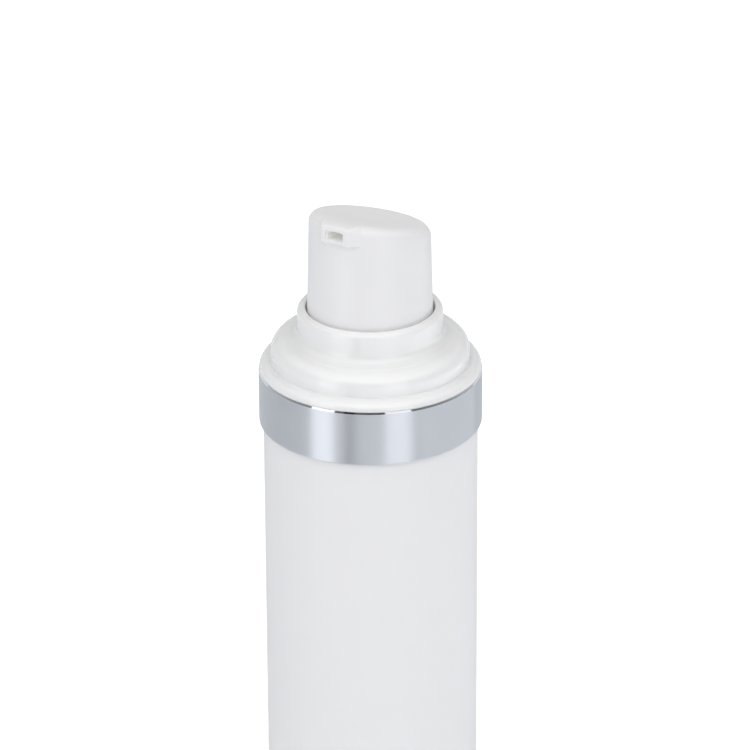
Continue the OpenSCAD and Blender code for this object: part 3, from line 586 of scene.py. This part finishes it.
class ButtonShape:
    """Measures of the button's skin, from the frame's box and the sizes."""

    def __init__(self, sizes):
        low, high = BOX["actuator"]
        self.sizes, self.skirt, self.skirt_r, self.face = sizes, low.z, high.x, -low.y
        self.roof = sizes.head_dish + 1.4 * MM      # the roof's underside below the top
        self.slope, self.draft = math.tan(sizes.head_slope), math.tan(sizes.head_draft)
        self.crown = BOX["shoulder_collar"][1].z + sizes.head_rise
        self.nozzle_top = self.crown + self.face * self.slope - sizes.brow_drop
        self.ledge = self.nozzle_top - sizes.nozzle_height
        self.angles = self.columns()
        self.outline = self.nozzle_outline()
        self.share = self.nozzle_share()
        self.edge = sizes.head_round + (sizes.nozzle_round - sizes.head_round) * self.share

    def columns(self):
        """Angles from the nozzle, close together on its face and flanks and wider round the back."""
        half = self.sizes.nozzle_width / 2
        flank = math.atan2(half + self.sizes.nozzle_flare + 1.0 * MM, self.face)
        front = np.linspace(0, flank, 40, endpoint=False)
        back = np.linspace(flank, math.pi, 90)
        right = np.concatenate([front, back])
        return np.concatenate([right, -right[-2:0:-1]])

    def wall(self, z):
        """Radius of the tapered wall at a height."""
        return self.skirt_r - (z - self.skirt) * self.draft

    def nozzle_outline(self):
        """Distance of the outline from the axis: flat face, straight flanks, round wall, with the corners
        smoothed by a running mean over a few degrees."""
        fine = np.linspace(-math.pi, math.pi, 7201)
        half, flare, r = self.sizes.nozzle_width / 2, self.sizes.nozzle_flare, self.wall(self.crown)
        foot = math.sqrt(r * r - (half + flare) ** 2)
        size = np.abs(fine)
        flat = self.face / np.maximum(np.cos(fine), 0.2)
        drop = foot - self.face
        across = np.minimum(np.sin(size) * drop - np.cos(size) * flare, -1e-6)
        flank = (half * drop - self.face * flare) / across
        shape = np.where(size <= math.atan2(half, self.face), flat, flank)
        shape = np.where(size <= math.atan2(half + flare, foot), shape, r)
        window = np.hanning(61)
        smooth = np.convolve(np.pad(shape, 30, mode="wrap"), window / window.sum(), mode="valid")
        return np.interp(self.angles, fine, smooth) - r

    def nozzle_share(self):
        """Share of the nozzle in each column: 1 over its face and 0 beyond its flank, by the smooth step
        t t (3 - 2 t)."""
        half = self.sizes.nozzle_width / 2
        start = math.atan2(half, self.face)
        end = math.asin((half + self.sizes.nozzle_flare) / self.wall(self.crown))
        t = np.clip((end - np.abs(self.angles)) / (end - start), 0, 1)
        return t * t * (3 - 2 * t)

    def top(self, r):
        """Height of the top at distance r in each column's direction: the slope, less a square-law dip
        towards the nozzle's upper edge."""
        dip = np.maximum(0, r - self.face + self.sizes.brow_run) / self.sizes.brow_run
        rise = r * np.cos(self.angles) * self.slope
        return self.crown + rise - self.sizes.brow_drop * self.share * dip ** 2

    def rows(self):
        """Rows (radius, height) of the closed skin, from the middle of the roof inside, down the inner
        wall, round the skirt's edge, up the outer wall, out over the ledge, up the nozzle's face, round the
        upper edge and in over the dish to its middle. The ledge leans out by the smooth step t t (3 - 2 t)
        and the dish has the depth (1 - s s)^2 at the share s of the radius."""
        sizes, even = self.sizes, np.ones_like(self.angles)
        rows = []
        inner_r = self.wall(self.crown) - sizes.head_wall
        for s in (0.0, 0.3, 0.6, 0.85, 0.96):
            rows.append((even * s * inner_r, self.top(s * inner_r) - self.roof))
        for f in (0.02, 0.06, 0.3, 0.6, 0.9, 0.985):
            z = self.top(inner_r) - self.roof - f * (self.top(inner_r) - self.roof - self.skirt)
            rows.append((self.wall(z) - sizes.head_wall, z))
        lip = 0.2 * MM
        middle = self.wall(self.skirt) - sizes.head_wall / 2
        reach = sizes.head_wall / 2 - lip
        quarter = np.linspace(0, 90, 5) * DEG
        for side, turn in ((-1, quarter[::-1]), (1, quarter)):
            for f in turn:
                r = middle + side * (reach + lip * math.sin(f))
                rows.append((even * r, even * (self.skirt + lip * (1 - math.cos(f)))))
        start = self.top(self.wall(self.crown) + self.outline) - self.edge
        shelf = np.minimum(self.ledge, start - 0.9 * MM)
        lean, corner = sizes.ledge_lean, 0.3 * MM
        for f in (0.04, 0.2, 0.4, 0.6, 0.8, 0.95, 0.99, 1.0):
            z = self.skirt + lip + f * (shelf - lean - self.skirt - lip)
            rows.append((self.wall(z), z))
        for t in (0.2, 0.4, 0.6, 0.8, 1.0):
            z = shelf - lean * (1 - t)
            rows.append((self.wall(z) + np.maximum(self.outline - corner, 0) * t * t * (3 - 2 * t), z))
        for f in np.linspace(18, 90, 5) * DEG:
            z = shelf + corner * (1 - math.cos(f))
            cut = np.minimum(self.outline, corner) * (1 - math.sin(f))
            rows.append((self.wall(z) + self.outline - cut, z))
        foot = shelf + corner
        for f in (0.1, 0.3, 0.5, 0.7, 0.9, 1.0):
            z = foot + f * (start - foot)
            rows.append((self.wall(z) + self.outline, z))
        rim = self.wall(start) + self.outline
        for f in np.linspace(6, 90, 15) * DEG:
            r = rim - self.edge * (1 - math.cos(f))
            rows.append((r, self.top(r) - self.edge * (1 - math.sin(f))))
        flat = rim - self.edge
        for s in np.linspace(0.985, 0, 22):
            r = s * flat
            rows.append((r, self.top(r) - sizes.head_dish * (1 - s * s) ** 2))
        return rows

    def grid(self):
        """Grid of the rows: the point at angle a from the nozzle is (r sin a, -r cos a, z)."""
        r, z = (np.array(part) for part in zip(*self.rows()))
        return np.stack([r * np.sin(self.angles), -r * np.cos(self.angles), z], axis=2)


def duct_cutter(sizes, face, steps=6):
    """Cutter for the outlet duct: a rounded rectangle carried along -Y, widened by a quarter arc at its
    mouth."""
    t = np.linspace(0, 2 * np.pi, 64, endpoint=False)
    corner = sizes.outlet_round
    half = np.array([sizes.outlet_width / 2, sizes.outlet_height / 2])
    unit = np.stack([np.cos(t), np.sin(t)], axis=1)
    straight = np.clip(unit * 1.5 * half.max(), -(half - corner), half - corner)
    ring = straight + unit * corner
    quarter = np.linspace(0, 90, steps) * DEG
    mouth = [(face - corner + corner * math.sin(f), corner * (1 - math.cos(f))) for f in quarter]
    path = [(-sizes.outlet_width / 2, 0.0), *mouth, (face + 2 * MM, corner)]
    rows = [np.column_stack([ring[:, 0] + unit[:, 0] * grow, np.full(len(t), -y),
                             ring[:, 1] + unit[:, 1] * grow]) for y, grow in path]
    rows = [np.tile(rows[0].mean(0), (len(t), 1)), *rows, np.tile(rows[-1].mean(0), (len(t), 1))]
    return poled_surface("duct_cutter", np.array(rows))


class BOTTLE_OT_button(bpy.types.Operator):
    """Press button: skin with nozzle and dish, socket, ribs and outlet duct"""
    bl_idname = "bottle.button"
    bl_label = "Button"

    def execute(self, context):
        sizes, colours = context.scene.bottle_sizes, context.scene.bottle_colours
        shape = ButtonShape(sizes)
        piece = poled_surface("button", shape.grid(), "head")
        stem_end, spring_end = BOX["stem"][1].z, BOX["return_spring"][1].z
        socket, socket_wall, bore = 2.78 * MM, 1.3 * MM, 1.6 * MM
        mouth, lead = BOX["stem_guide"][1].z + 5.5 * MM, 0.4 * MM
        above = shape.crown - sizes.head_dish - 0.7 * MM        # half-way through the roof
        half_w, half_h = sizes.outlet_width / 2, sizes.outlet_height / 2
        duct_z0 = shape.crown - shape.roof - half_h + 0.3 * MM
        duct_z1 = shape.nozzle_top - sizes.outlet_drop
        duct_wall = 1.1 * MM
        tilt = -math.atan((duct_z1 - duct_z0) / shape.face)
        outer = socket + socket_wall
        post = turn_grid(np.array([(0, mouth), (outer, mouth), (outer, above), (0, above)]), 64)
        post[2:, :, 2] -= post[2:, :, 1] * shape.slope          # its upper end follows the sloping top
        channel = block("channel", (-half_w - duct_wall, -shape.face + 1.4 * MM, -half_h - duct_wall),
                        (half_w + duct_wall, 0, half_h + 0.5 * MM))
        reach, half_rib = shape.wall(shape.crown) - 0.6 * MM, 0.5 * MM
        ribs = [turned(block("rib", (0, -half_rib, spring_end + 0.03 * MM),
                             (reach, half_rib, shape.crown - 4.6 * MM)), spin=turn * math.pi / 3)
                for turn in range(6)]
        combine(piece, [poled_surface("boss", post), turned(channel, tilt, rise=duct_z0), *ribs], "UNION")
        top = stem_end + 0.03 * MM
        well = np.array([(0, mouth - MM), (socket + lead + MM, mouth - MM), (socket, mouth + lead),
                         (socket, top), (bore, top), (bore, duct_z0), (0, duct_z0)])
        duct = turned(duct_cutter(sizes, shape.face), tilt, rise=duct_z0)
        combine(piece, [poled_surface("well", turn_grid(well, 64)), duct], "DIFFERENCE")
        piece.data.set_sharp_from_angle(angle=38 * DEG)
        dress(piece, satin_button(colours), "actuator")
        # Painted glow in the outlet duct: its inner faces get a faint emission, painted light standing in for
        # light through the thin plastic, which lightens the duct's shade
        x, y, z = face_centres(piece).T
        axis = duct_z0 - y * (duct_z1 - duct_z0) / shape.face
        inside = (np.abs(x) < half_w + 0.05 * MM) & (np.abs(z - axis) < half_h + 0.08 * MM)
        inside &= (y < -2 * MM) & (y > 0.25 * MM - shape.face)  # past the socket, behind the mouth's arc
        second_finish(piece, satin_button(colours, painted_glow=0.1), inside)
        return {"FINISHED"}


class BOTTLE_OT_spring(bpy.types.Operator):
    """Return spring: wire round the helix (r cos s, r sin s, z(s)) with closed end turns"""
    bl_idname = "bottle.spring"
    bl_label = "Return spring"

    def execute(self, context):
        sizes, colours = context.scene.bottle_sizes, context.scene.bottle_colours
        low, high = BOX["return_spring"]
        wire, turns = sizes.wire / 2, sizes.turns
        t = np.linspace(0, turns, int(turns * 40) + 1)
        end_pitch = sizes.wire + 0.45 * MM
        pitch = (high.z - low.z - 2 * wire - 2 * end_pitch) / (turns - 2)
        rise = np.minimum(t, 1) * end_pitch + np.clip(t - 1, 0, turns - 2) * pitch
        rise = (rise + np.maximum(0, t - turns + 1) * end_pitch)[:, None]
        r = (high.x - low.x) / 2 - wire
        u = np.linspace(0, 2 * np.pi, 14, endpoint=False)[None, :]
        spin = 2 * np.pi * t[:, None]
        reach = r + wire * np.cos(u)
        height = low.z + wire + rise + wire * np.sin(u)
        tube = np.stack([reach * np.cos(spin), reach * np.sin(spin), height], axis=2)
        ends = [np.tile(end.mean(1, keepdims=True), (1, u.size, 1)) for end in (tube[:1], tube[-1:])]
        tube = np.concatenate([ends[0], tube, ends[1]])
        piece = poled_surface("spring_coil", tube[::-1], "bottle")
        steel = drawn_steel(colours, "drawn stainless steel", roughness=0.28, marks_mm=0.3)
        dress(piece, steel, "return_spring")
        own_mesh(piece)
        return {"FINISHED"}


class BOTTLE_OT_engine(bpy.types.Operator):
    """Finishes of the pump's inner parts, which keep the frame's shapes"""
    bl_idname = "bottle.engine"
    bl_label = "Pump engine"

    def execute(self, context):
        colours = context.scene.bottle_colours
        engine, seal = natural_engine(colours), soft_seal(colours)
        ball = drawn_steel(colours, "polished stainless steel", roughness=0.1, marks_mm=0.6)
        finishes = {engine: ("pump_chamber", "ball_cage", "closure_ring", "stem_guide", "stem", "stem_tip"),
                    seal: ("follower_piston", "neck_gasket", "pump_piston"),
                    ball: ("inlet_ball",)}
        for finish, nodes in finishes.items():
            for node in nodes:
                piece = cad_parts[node]
                for slot in piece.material_slots:
                    slot.material = finish
        return {"FINISHED"}


# Turn from the camera's azimuth in degrees, distance from the axis, width and height, height of the centre
LAMPS = {"left_softbox": (-47, 0.24, (0.10, 0.22), 0.112),
         "right_softbox": (27, 0.24, (0.11, 0.22), 0.112),
         "right_panel": (86, 0.20, (0.30, 0.06), 0.032)}
FLAG = (-20, 0.18, (0.032, 0.19))           # the same for the black card, which stands on the floor


class BOTTLE_OT_stage(bpy.types.Operator):
    """Pale floor, soft studio light and the camera at the photograph's angle"""
    bl_idname = "bottle.stage"
    bl_label = "Stage"

    def execute(self, context):
        stage, colours = context.scene.bottle_stage, context.scene.bottle_colours
        self.floor(colours)
        self.world(context.scene, stage)
        aim = Vector((0, 0, BOX["trim_ring"][1].z - stage.aim_drop))
        e, a = stage.elevation, stage.azimuth
        back = Vector((math.sin(a) * math.cos(e), -math.cos(a) * math.cos(e), math.sin(e)))
        right = Vector((math.cos(a), math.sin(a), 0))
        for name, radiance in (("left_softbox", stage.left), ("right_softbox", stage.right),
                               ("right_panel", stage.panel)):
            turn, distance, size, height = LAMPS[name]
            self.softbox(name, aim, a + turn * DEG, distance, size, height, radiance)
        turn, distance, size = FLAG
        self.flag(a + turn * DEG, distance, size)
        camera = bpy.data.cameras.new("camera")
        camera.sensor_width = 36.0
        camera.lens = stage.scale * stage.distance * camera.sensor_width / PHOTO_SIZE
        camera.clip_start, camera.clip_end = 0.01, 20.0
        view = bpy.data.objects.new("camera", camera)
        view.rotation_mode = "QUATERNION"
        view.location = aim + right * stage.aim_side + back * stage.distance
        view.rotation_quaternion = (-back).to_track_quat("-Z", "Y") @ Quaternion((0, 0, 1), -stage.roll)
        context.scene.collection.objects.link(view)
        context.scene.camera = view
        context.scene.view_settings.view_transform = "Standard"
        return {"FINISHED"}

    def floor(self, colours):
        """Flat floor that reaches white where the camera sees it and keeps the shadow."""
        half, below = 3.0, -0.02 * MM
        points = np.array([[x * half, y * half, below] for x, y in ((-1, -1), (1, -1), (1, 1), (-1, 1))])
        piece = mesh_object("floor", points, [np.array([[0, 1, 2, 3]])])
        material, tree = new_material("painted floor board")
        seen = add_node(tree, "ShaderNodeLightPath").outputs["Is Camera Ray"]
        lift = add_node(tree, "ShaderNodeMath", {0: seen, 1: 0.5}, operation="MULTIPLY").outputs[0]
        paint = add_node(tree, "ShaderNodeBsdfDiffuse", {"Color": (*colours.floor, 1.0)}).outputs["BSDF"]
        glow = add_node(tree, "ShaderNodeEmission", {"Strength": lift}).outputs["Emission"]
        both = add_node(tree, "ShaderNodeAddShader", {0: paint, 1: glow})
        add_node(tree, "ShaderNodeOutputMaterial", {"Surface": both.outputs["Shader"]})
        piece.data.materials.append(material)

    def flag(self, azimuth, distance, size):
        """Narrow black card between the softboxes, out of the picture: a dim band on the metal."""
        width, height = size
        piece = block("black_flag", (-width / 2, -distance, 0), (width / 2, -distance + 1 * MM, height))
        turned(piece, spin=azimuth)
        material, tree = new_material("black card")
        where = add_node(tree, "ShaderNodeTexCoord").outputs["Object"]
        fibres = add_node(tree, "ShaderNodeTexNoise", {"Vector": where, "Scale": per_metre(2)}).outputs["Fac"]
        rough = add_node(tree, "ShaderNodeMapRange", {
            "Value": fibres, "To Min": 0.8, "To Max": 0.9}).outputs["Result"]
        shader = add_node(tree, "ShaderNodeBsdfPrincipled", {
            "Base Color": (0.01, 0.01, 0.01, 1.0), "Roughness": rough})
        add_node(tree, "ShaderNodeOutputMaterial", {"Surface": shader.outputs["BSDF"]})
        piece.data.materials.append(material)
        piece.visible_camera = False

    def world(self, scene, stage):
        """Walls of even grey, brighter behind the bottle than before it, under a pale ceiling that is
        brighter towards the camera: radiance = ramp(z) (1 + d . tilt) for the direction d. White where the
        camera sees it."""
        world = bpy.data.worlds.new("studio")
        scene.world = world
        world.use_nodes = True
        tree = world.node_tree
        tree.nodes.clear()
        way = add_node(tree, "ShaderNodeTexCoord").outputs["Generated"]
        up = add_node(tree, "ShaderNodeSeparateXYZ", {"Vector": way}).outputs["Z"]
        ramp = add_node(tree, "ShaderNodeValToRGB", {"Fac": up})
        wall_top, ceiling_edge = 0.42, 0.52
        stops = ((0.0, stage.horizon), (0.10, stage.horizon), (0.17, stage.gap), (wall_top, stage.gap),
                 (ceiling_edge, stage.ceiling))
        elements = ramp.color_ramp.elements
        while len(elements) < len(stops):
            elements.new(1.0)
        for element, (place, tone) in zip(elements, stops):
            element.position = place
            element.color = (tone, tone, tone, 1.0)
        seen = add_node(tree, "ShaderNodeLightPath").outputs["Is Camera Ray"]
        tone = add_node(tree, "ShaderNodeMix", {
            "Factor": seen, "A": ramp.outputs["Color"], "B": (1.0, 1.0, 1.0, 1.0)},
            data_type="RGBA").outputs["Result"]
        front = np.array([math.sin(stage.azimuth), -math.cos(stage.azimuth), 0])
        high = add_node(tree, "ShaderNodeMapRange", {
            "Value": up, "From Min": wall_top, "From Max": ceiling_edge}).outputs["Result"]
        tilt = add_node(tree, "ShaderNodeMix", {
            "Factor": high, "A": tuple(-front * stage.walls_back), "B": tuple(front * stage.ceiling_front)},
            data_type="VECTOR").outputs["Result"]
        gain = add_node(tree, "ShaderNodeVectorMath", {0: way, 1: tilt},
                        operation="DOT_PRODUCT").outputs["Value"]
        gain = add_node(tree, "ShaderNodeMath", {0: gain, 1: 1.0}, operation="ADD").outputs[0]
        gain = add_node(tree, "ShaderNodeMath", {0: gain, 1: seen}, operation="MAXIMUM").outputs[0]
        light = add_node(tree, "ShaderNodeBackground", {"Color": tone, "Strength": gain})
        add_node(tree, "ShaderNodeOutputWorld", {"Surface": light.outputs["Background"]})

    def softbox(self, name, aim, azimuth, distance, size, height, radiance):
        """Upright softbox at an azimuth from the nozzle's side; power = radiance x pi x area."""
        lamp = bpy.data.lights.new(name, "AREA")
        lamp.shape = "RECTANGLE"
        lamp.size, lamp.size_y = size
        lamp.energy = radiance * math.pi * size[0] * size[1]
        holder = bpy.data.objects.new(name, lamp)
        place = Vector((math.sin(azimuth) * distance, -math.cos(azimuth) * distance, height))
        holder.location = place
        holder.rotation_mode = "QUATERNION"
        holder.rotation_quaternion = Vector((aim.x - place.x, aim.y - place.y, 0)).to_track_quat("-Z", "Y")
        holder.visible_camera = False
        bpy.context.scene.collection.objects.link(holder)


class BOTTLE_PT_panel(bpy.types.Panel):
    """Lists the steps and the values of the bottle"""
    bl_idname = "BOTTLE_PT_panel"
    bl_label = "Airless pump bottle"
    bl_space_type = "VIEW_3D"
    bl_region_type = "UI"
    bl_category = "Bottle"

    def draw(self, context):
        for operator in OPERATORS:
            self.layout.operator(operator.bl_idname)
        for values in (context.scene.bottle_sizes, context.scene.bottle_colours, context.scene.bottle_stage):
            for key in values.__annotations__:
                self.layout.prop(values, key)


GROUPS = {"bottle_sizes": BottleSizes, "bottle_colours": BottleColours, "bottle_stage": BottleStage}
OPERATORS = (BOTTLE_OT_barrel, BOTTLE_OT_base_plug, BOTTLE_OT_trim_ring, BOTTLE_OT_collar, BOTTLE_OT_button,
             BOTTLE_OT_spring, BOTTLE_OT_engine, BOTTLE_OT_stage)


def register():
    """Registers the classes and puts the values on the scene."""
    for cls in (*GROUPS.values(), *OPERATORS, BOTTLE_PT_panel):
        bpy.utils.register_class(cls)
    for key, group in GROUPS.items():
        setattr(bpy.types.Scene, key, PointerProperty(type=group))


def unregister():
    """Takes them off again."""
    for key in GROUPS:
        delattr(bpy.types.Scene, key)
    for cls in reversed((*GROUPS.values(), *OPERATORS, BOTTLE_PT_panel)):
        bpy.utils.unregister_class(cls)


def main():
    """Builds the bottle step by step."""
    register()
    for operator in OPERATORS:
        group, step = operator.bl_idname.split(".")
        getattr(getattr(bpy.ops, group), step)()


if __name__ == "__main__":
    main()
